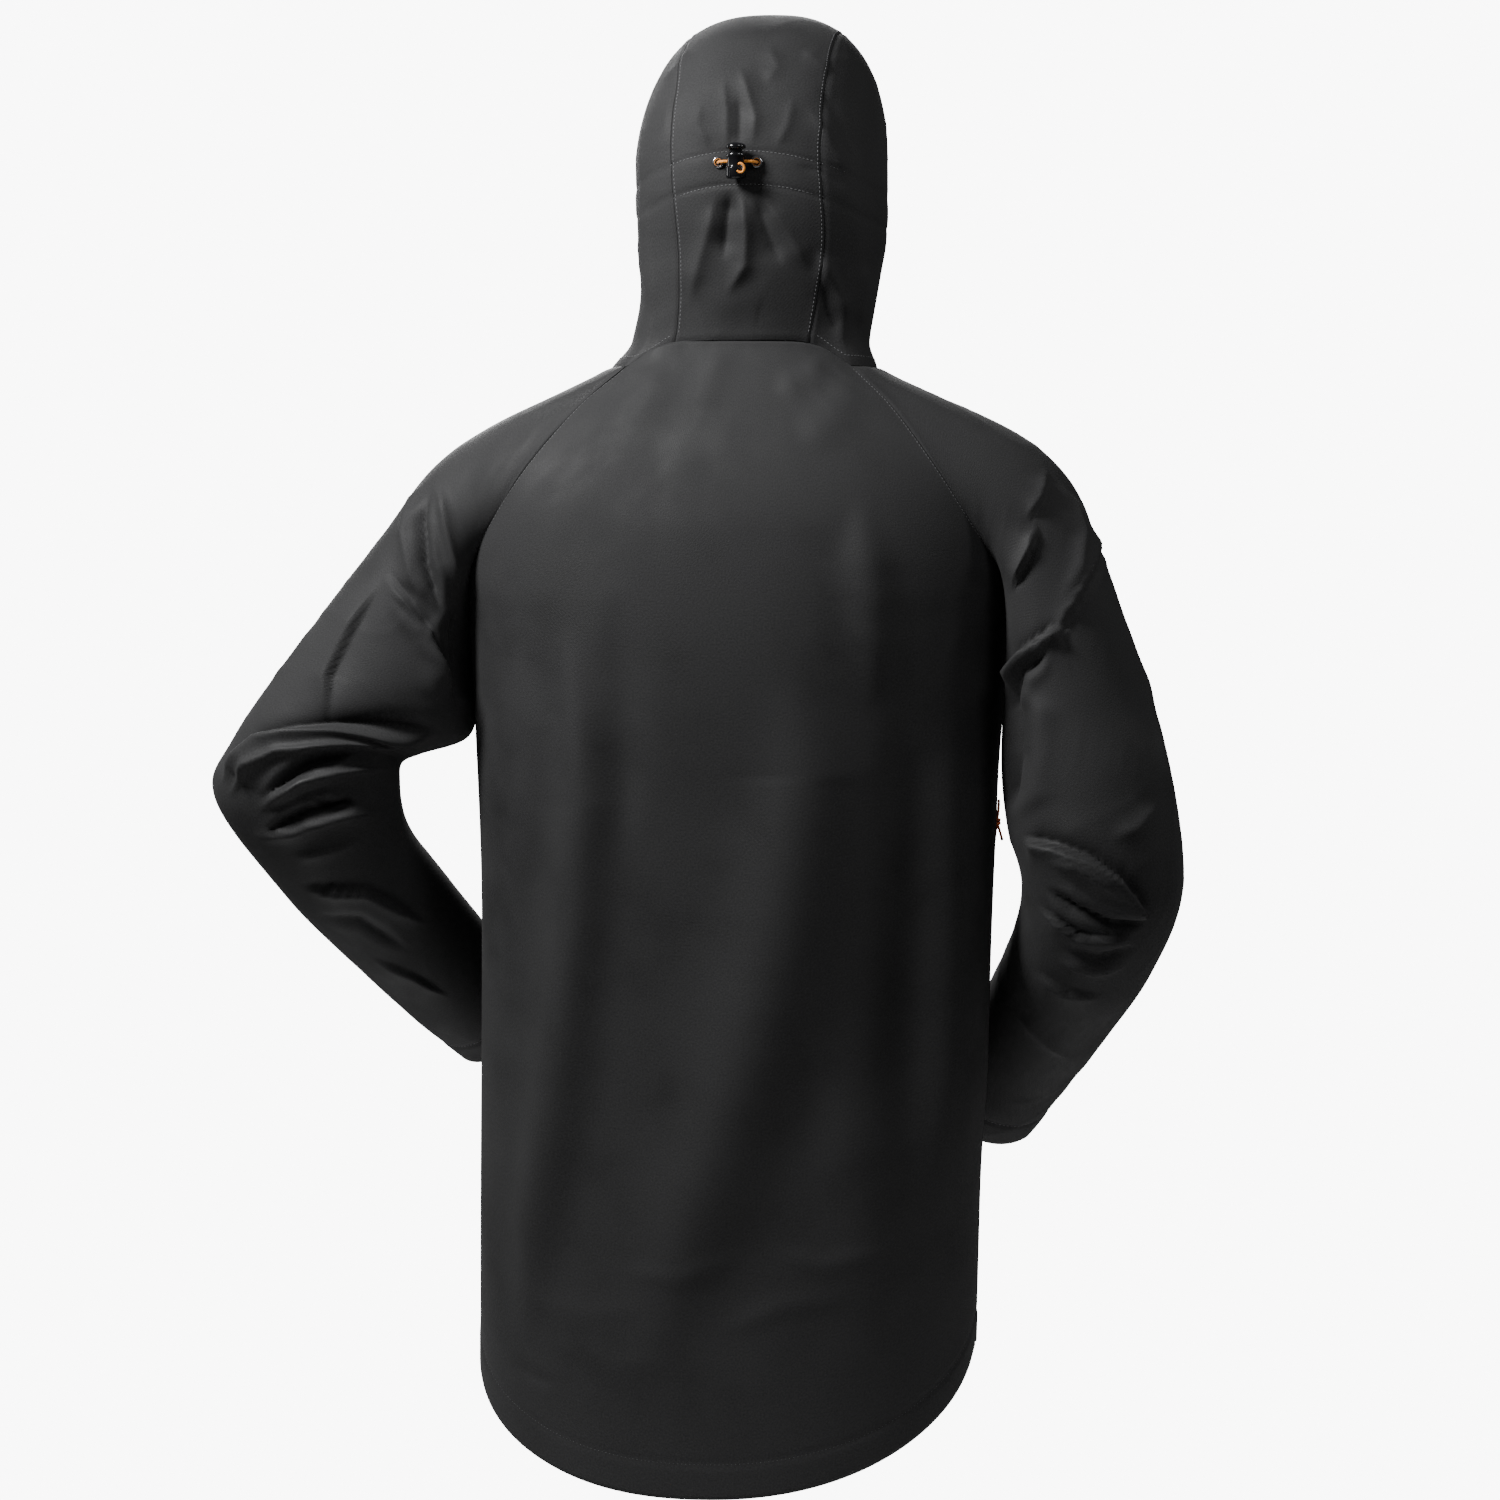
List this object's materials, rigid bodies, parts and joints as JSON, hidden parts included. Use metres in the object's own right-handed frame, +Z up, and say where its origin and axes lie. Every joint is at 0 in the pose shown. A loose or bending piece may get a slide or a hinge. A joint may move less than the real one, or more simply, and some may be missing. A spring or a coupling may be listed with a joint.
{
  "type": "hardshell jacket",
  "caption": "Waterproof shell jacket with adjustable hood, raglan sleeves, drop-tail hem, pit and hand-pocket zips and cuff tabs, shaped as if worn.",
  "frame": {"origin": "inside the neck opening, level with the middle of the back neck seam, where the wearer's neck holds the jacket up", "axes": "+Z up, -Y the way the wearer faces, +X the wearer's left"},
  "size_m": [0.7663, 0.3612, 1.1519],
  "materials": {
    "shell_fabric": "matt woven, near black",
    "lining": "matt",
    "tape": "matt",
    "moulded": "gloss",
    "metal": "polished",
    "orange_cord": "braided",
    "rust_cord": "braided"
  },
  "bodies": {
    "torso": {"back_panel": "shell_fabric", "left_front_panel": "shell_fabric", "right_front_panel": "shell_fabric", "left_upper_sleeve": "shell_fabric", "right_upper_sleeve": "shell_fabric", "left_pit_zip_tape": "tape", "left_pit_zip_teeth": "moulded", "left_pocket_zip_tape": "tape", "left_pocket_zip_teeth": "moulded", "left_pocket_bag": "lining", "right_pit_zip_tape": "tape", "right_pit_zip_teeth": "moulded", "right_pocket_zip_tape": "tape", "right_pocket_zip_teeth": "moulded", "right_pocket_bag": "lining", "front_zip_left_tape": "tape", "front_zip_left_teeth": "moulded", "front_zip_right_tape": "tape", "front_zip_right_teeth": "moulded", "front_zip_box": "moulded", "storm_flap": "lining", "chin_guard": "lining", "hem_facing": "lining", "neck_tape": "tape", "neck_label": "tape", "hang_loop": "tape"},
    "hood": {"hood_center_panel": "shell_fabric", "hood_left_panel": "shell_fabric", "hood_right_panel": "shell_fabric", "hood_brim": "shell_fabric", "hood_tunnel_tape": "lining", "hood_cord_lock_body": "moulded", "hood_cord_lock_spring": "metal", "hood_left_eyelet": "metal", "hood_right_eyelet": "metal", "hood_adjuster_cord": "orange_cord"},
    "hood_button": {"hood_cord_lock_button": "moulded"},
    "left_forearm": {"left_lower_sleeve": "shell_fabric", "left_cuff_facing": "lining", "left_cuff_patch": "lining"},
    "left_tab": {"left_cuff_tab": "shell_fabric"},
    "right_forearm": {"right_lower_sleeve": "shell_fabric", "right_cuff_facing": "lining", "right_cuff_patch": "lining"},
    "right_tab": {"right_cuff_tab": "shell_fabric"},
    "left_pit_zip_runner": {"left_pit_zip_slider": "moulded", "left_pit_zip_pull_cord": "rust_cord"},
    "left_pocket_zip_runner": {"left_pocket_zip_slider": "moulded", "left_pocket_zip_pull_cord": "rust_cord"},
    "right_pit_zip_runner": {"right_pit_zip_slider": "moulded", "right_pit_zip_pull_cord": "rust_cord"},
    "right_pocket_zip_runner": {"right_pocket_zip_slider": "moulded", "right_pocket_zip_pull_cord": "rust_cord"},
    "front_zip_runner": {"front_zip_slider": "moulded", "front_zip_pull_cord": "rust_cord"}
  },
  "joints": [
    {"name": "hood_tilt", "type": "hinge", "parent": "torso", "child": "hood", "pos_m": [0, 0.045, 0], "axis": [-1, 0, 0], "range_deg": [0, 30]},
    {"name": "hood_button_press", "type": "slide", "parent": "hood", "child": "hood_button", "axis": [0, 0, -1], "range_m": [0, 0.003], "stiffness_N_per_m": 400, "deforming": ["hood_cord_lock_spring"]},
    {"name": "left_elbow", "type": "hinge", "parent": "torso", "child": "left_forearm", "pos_m": [0.40248, 0.07574, -0.35813], "axis": [0.6079, -0.7641, 0.216], "range_deg": [0, 45]},
    {"name": "left_tab_peel", "type": "hinge", "parent": "left_forearm", "child": "left_tab", "pos_m": [0.26153, -0.13151, -0.53948], "axis": [0.5344, 0.644, 0.5474], "range_deg": [0, 70]},
    {"name": "right_elbow", "type": "hinge", "parent": "torso", "child": "right_forearm", "pos_m": [-0.32483, 0.08909, -0.43633], "axis": [0.8485, 0.5264, -0.0542], "range_deg": [0, 45]},
    {"name": "right_tab_peel", "type": "hinge", "parent": "right_forearm", "child": "right_tab", "pos_m": [-0.22127, -0.16049, -0.59771], "axis": [0.4655, -0.6614, -0.5881], "range_deg": [0, 70]},
    {"name": "left_pit_zip_slide", "type": "slide", "parent": "torso", "child": "left_pit_zip_runner", "axis": [0.0469, 0.0171, 0.9988], "range_m": [0, 0.117]},
    {"name": "left_pocket_zip_slide", "type": "slide", "parent": "torso", "child": "left_pocket_zip_runner", "axis": [0.0807, 0.01, -0.9967], "range_m": [0, 0.13]},
    {"name": "right_pit_zip_slide", "type": "slide", "parent": "torso", "child": "right_pit_zip_runner", "axis": [-0.08, 0.0171, 0.9966], "range_m": [0, 0.117]},
    {"name": "right_pocket_zip_slide", "type": "slide", "parent": "torso", "child": "right_pocket_zip_runner", "axis": [-0.0476, 0.01, -0.9988], "range_m": [0, 0.13]},
    {"name": "front_zip_slide", "type": "slide", "parent": "torso", "child": "front_zip_runner", "axis": [0.0166, -0.0474, -0.9987], "range_m": [0, 0.765]}
  ]
}
